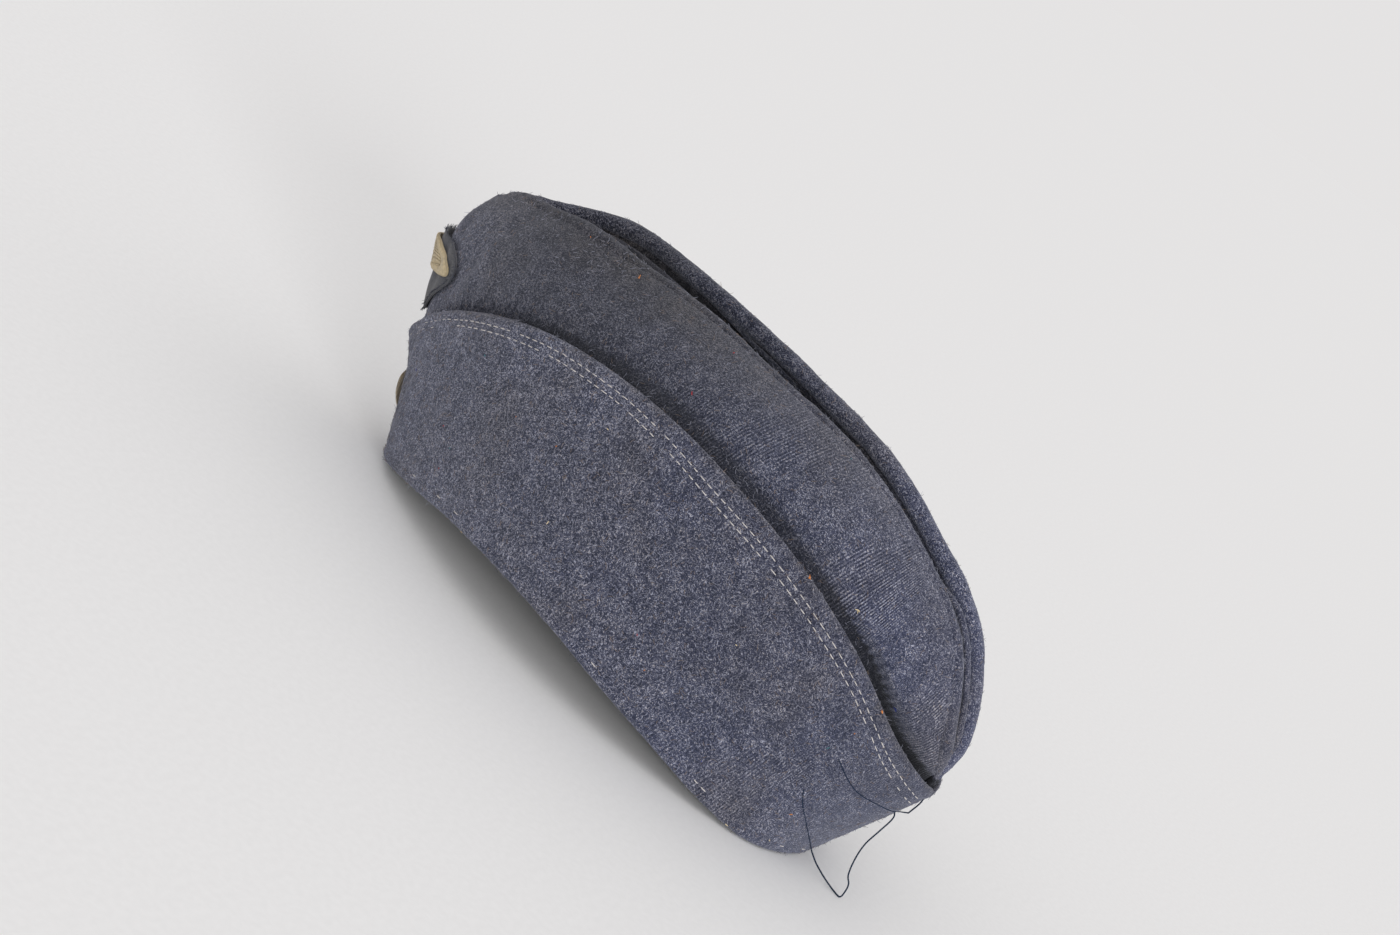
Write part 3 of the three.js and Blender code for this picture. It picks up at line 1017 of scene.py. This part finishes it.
def laid(points):
    """Points pressed on to the cloth of the turn-up's left half."""
    places = []
    for point in smooth_line(points, 6):
        place, facing, _, _ = turnup_trees["left"].find_nearest(point * MM)
        places.append(place + facing * (THREAD * 0.25))
    return places


loose = Strands("loose_thread", THREAD, roundness=2)
stuck, hook = laid(STUCK_RUN), [place * MM for place in smooth_line(STUCK_HOOK, 6)]
loose.lay(stuck + hook, [0.6] * len(stuck) + [1.0] * len(hook))
hanging, end = [place * MM for place in smooth_line(LOOP, 8)], laid(LOOP_END)
loose.lay(hanging + end, [1.0] * len(hanging) + [0.6] * len(end))
loose.finished(loose_thread_dye)

# ---- Badge ----
AHEAD = -0.3            # metres: in front of the cap, where a search ray starts,
AHEAD_REACH = 0.25      # and how far it goes on from there
WIDER, LOWER = 1.06, 0.84     # how the oval is drawn out and flattened,
BACKING_LOWER = 0.8     # and its cut cloth above the oval's middle
low, high = (Vector(corner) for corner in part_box("badge"))
BADGE_MIDDLE = (low + high) / 2
BADGE_WIDE = (high.x - low.x) / 2 * 0.92 * WIDER
BADGE_TALL = (high.z - low.z) / 2 * LOWER

badge = refined("badge", 2)
backing = refined("badge_cloth", 2)
for mesh in (badge, backing):
    soften(mesh)
bare_front = tree_of(*crowns.values())


def from_ahead(tree, across, height):
    """What a level ray from straight ahead meets, kept off the centre seam."""
    across = math.copysign(max(abs(across), 0.15 * MM), across)
    return tree.ray_cast(Vector((across, AHEAD, height)), Vector((0, 1, 0)), AHEAD_REACH)[:2]


def front_depth(across, height):
    """How far forward the bare crown stands, seen from straight ahead."""
    place = from_ahead(bare_front, across, height)[0]
    return None if place is None else place.y


def stretch_on_crown(mesh, wide, above, below):
    """Stretches a piece about the badge's middle, still lying on the crown."""
    for vertex in mesh.vertices:
        across, _, height = vertex.co
        wider = across * wide
        rise = height - BADGE_MIDDLE.z
        lower = BADGE_MIDDLE.z + rise * (above if rise > 0 else below)
        before, after = front_depth(across, height), front_depth(wider, lower)
        if before is not None and after is not None:
            vertex.co = (wider, vertex.co.y + after - before, lower)


stretch_on_crown(badge, WIDER, LOWER, LOWER)
stretch_on_crown(backing, 1, BACKING_LOWER, 1)
normals = [vertex.normal.copy() for vertex in backing.vertices]
for vertex, normal in zip(backing.vertices, normals):
    lifted = share_between(abs(vertex.co.x), 10 * MM, 17 * MM)
    vertex.co += outwards(vertex.co) * (lifted * (0.7 + 0.5 * wave(vertex.co, 6 * MM, 4.9)) * MM)
    vertex.co += normal * (0.15 * MM * wave(vertex.co, 3 * MM, 1.9))
paint(backing, turnup_wear, turnup_tone_and_painted_light)
piece = object_of("badge_backing", backing, patch_felt)
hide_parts("badge_cloth")
piece = object_of("badge_body", badge, badge_ground)
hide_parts("badge")
front_tree = tree_of(backing, badge, *crowns.values())


def on_front(tree, across, height, lift):
    """A place on the front of the cap, seen from straight ahead."""
    place, facing = from_ahead(tree, across, height)
    return None if place is None else place + facing * lift


def badge_stitch(strands, start, end, proud):
    """One thread of the embroidery, unless an end of it misses the cap."""
    places = []
    for share, lift in ((0, -0.1), (0.2, 0.8), (0.5, 1), (0.8, 0.8), (1, -0.1)):
        across, height = start.lerp(end, share)
        place = on_front(front_tree, across, height, lift * proud)
        if place is None:
            return
        places.append(place)
    strands.lay(places, [0.8, 1, 1, 1, 0.8])


BORDER_INSIDE, BORDER_OUTSIDE = 0.76, 0.99      # shares of the oval's reach
BORDER_STITCHES = 170
FILLING_ROWS = 21       # above and below the middle
FILLING_PITCH = 0.36 * MM
FILLING_STITCH = 2.9 * MM

middle_of_badge = Vector((BADGE_MIDDLE.x, BADGE_MIDDLE.z))
satin = Strands("badge_satin_border", 0.2 * MM, roundness=1)
for step in range(BORDER_STITCHES):
    turn = 2 * math.pi * step / BORDER_STITCHES
    ray = Vector((math.cos(turn) * BADGE_WIDE, math.sin(turn) * BADGE_TALL))
    start, end = middle_of_badge + ray * BORDER_INSIDE, middle_of_badge + ray * BORDER_OUTSIDE
    badge_stitch(satin, start, end, 0.3 * MM)
satin.finished(badge_satin)

filling = Strands("badge_filling", 0.17 * MM, roundness=1)
for row in range(-FILLING_ROWS, FILLING_ROWS + 1):
    height = row * FILLING_PITCH
    if abs(height) > BADGE_TALL * 0.74:
        continue
    risen = height / (BADGE_TALL * BORDER_INSIDE)
    half = BADGE_WIDE * BORDER_INSIDE * math.sqrt(max(0, 1 - risen**2))
    across = -half + (row % 3) * 1.0 * MM
    while across < half:
        end = min(half, across + FILLING_STITCH)
        shift = Vector((BADGE_MIDDLE.x, BADGE_MIDDLE.z + height))
        if end - across > 0.6 * MM:
            left, right = shift + Vector((across, 0)), shift + Vector((end, 0.3 * MM))
            badge_stitch(filling, left, right, 0.22 * MM)
        across = end + 0.15 * MM
filling.finished(badge_satin)

FRAYED_ENDS = 240       # all round the cut cloth
PAST_PATCH = 24 * MM    # from the badge's middle, outside the cut cloth all round

fray = Strands("badge_fray", 0.1 * MM)
patch_tree = tree_of(backing)
for step in range(FRAYED_ENDS):
    turn = 2 * math.pi * step / FRAYED_ENDS + random.uniform(-0.02, 0.02)
    ray = Vector((math.cos(turn) * PAST_PATCH, math.sin(turn) * PAST_PATCH))

    def is_patch(share):
        spot = ray * share
        return on_front(patch_tree, spot.x, BADGE_MIDDLE.z + spot.y, 0) is not None

    edge = ray * (last_within(is_patch, 0.0, 1.0, 9) - 0.015)
    way = Vector((ray.x, 0, ray.y)).normalized()
    way.rotate(Matrix.Rotation(random.uniform(-0.7, 0.7), 3, "Y"))
    start = on_front(patch_tree, edge.x, BADGE_MIDDLE.z + edge.y, 0)
    if start is None:
        continue
    length = random.uniform(0.8, 2.4) * MM
    out = outwards(start)
    bent = start + way * length * 0.5 + out * 0.1 * MM
    tip = start + way * length + out * random.uniform(-0.2, 0.5) * MM
    fray.lay([start, bent, tip], [1, 0.9, 0.5])
fray.finished(thread("fray_dye", srgb(58, 62, 74)))

# ---- Rosette ----
low, high = (Vector(corner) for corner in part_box("rosette"))
rosette_middle = (low + high) / 2
slant = math.atan2(high.y - low.y, high.z - low.z)
facing_rosette = Vector((0, -math.cos(slant), -math.sin(slant)))
up_rosette = Vector((0, -math.sin(slant), math.cos(slant)))
ROSETTE_FLATTER = 0.4   # the share of its height that the disc loses
disc = refined("rosette", 2)
back_of_rosette = min((vertex.co - rosette_middle).dot(facing_rosette) for vertex in disc.vertices)
for vertex in disc.vertices:
    proud = (vertex.co - rosette_middle).dot(facing_rosette) - back_of_rosette
    vertex.co -= facing_rosette * (ROSETTE_FLATTER * proud)
soften(disc)
piece = object_of("rosette_disc", disc, rosette_ground)
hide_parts("rosette")
rosette_tree = tree_of(disc)


def on_rosette(radius, turn, lift):
    """A place on the face of the disc, so far from its middle and so far round."""
    way = Vector((1, 0, 0)) * math.cos(turn) + up_rosette * math.sin(turn)
    spot = rosette_middle + way * radius
    place, facing, _, _ = rosette_tree.ray_cast(spot + facing_rosette * 0.05, -facing_rosette, 0.1)
    return spot if place is None else place + facing * lift


# Each ring's inner and outer radius in mm, how many threads it has, and their dye.
for name, inner, outer, count, dye in (
    ("rosette_rim", 6.4, 8.75, 120, ochre_satin),
    ("rosette_ring", 3.1, 6.4, 90, slate_satin),
    ("rosette_button", 0.4, 3.1, 44, ochre_satin),
):
    ring = Strands(name, 0.2 * MM, roundness=1)
    for step in range(count):
        turn = 2 * math.pi * step / count
        places = []
        for share, lift in ((0, -0.05), (0.2, 0.22), (0.5, 0.3), (0.8, 0.22), (1, -0.05)):
            radius = (inner + (outer - inner) * share) * MM
            places.append(on_rosette(radius, turn + share * 0.04, lift * MM))
        ring.lay(places, [0.6, 0.9, 1, 1, 1])
    ring.finished(dye)


# ---- Floor, light and camera ----
GLOW = 0.78             # how bright the whole studio is around the cap
KEY = 1.9               # how strong the low soft key light is
KEY_TURN = math.radians(48)
KEY_RISE = math.radians(9)
FLOOR_RADIUS = 80       # metres


def wide_floor():
    """A flat pale floor, so wide that its far edge melts into the studio's glow."""
    bm = bmesh.new()
    bmesh.ops.create_circle(bm, cap_ends=True, radius=FLOOR_RADIUS, segments=128)
    mesh = bpy.data.meshes.new("wide_floor")
    bm.to_mesh(mesh)
    bm.free()
    ground = in_scene("wide_floor", mesh)
    ground.data.materials.append(backdrop())
    ground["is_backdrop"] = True


def soft_key():
    """A broad soft light from low behind the cap's left."""
    light = bpy.data.lights.new("soft_key", "SUN")
    light.energy = KEY
    light.angle = math.radians(24)
    lamp = in_scene("soft_key", light)
    level = Vector((math.cos(KEY_TURN), math.sin(KEY_TURN), 0))
    towards = level * math.cos(KEY_RISE) + UP * math.sin(KEY_RISE)
    lamp.rotation_euler = towards.to_track_quat("Z", "Y").to_euler()


def glow():
    """Even light from all round."""
    world = bpy.data.worlds.new("studio")
    world.use_nodes = True
    background = world.node_tree.nodes["Background"]
    background.inputs["Color"].default_value = (1.0, 0.985, 0.985, 1)
    background.inputs["Strength"].default_value = GLOW
    bpy.context.scene.world = world


def camera():
    """The camera, turned to the cap's left and back, pitched down and rolled."""
    data = bpy.data.cameras.new("camera")
    data.lens = 60
    data.sensor_width = 36
    eye = in_scene("camera", data)
    turn = Matrix.Rotation(CAMERA_TURN + math.pi / 2, 4, "Z")
    pitch = Matrix.Rotation(math.pi / 2 - CAMERA_PITCH, 4, "X")
    roll = Matrix.Rotation(CAMERA_ROLL, 4, "Z")
    eye.matrix_world = Matrix.Translation(CAMERA_AT) @ turn @ pitch @ roll
    bpy.context.scene.camera = eye


wide_floor()
glow()
soft_key()
camera()
bpy.context.scene.view_settings.view_transform = "Standard"

sizes = {"cad": cad_bounds, "visual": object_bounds()}
{name: [list(corner) for corner in box] for name, box in sizes.items()}
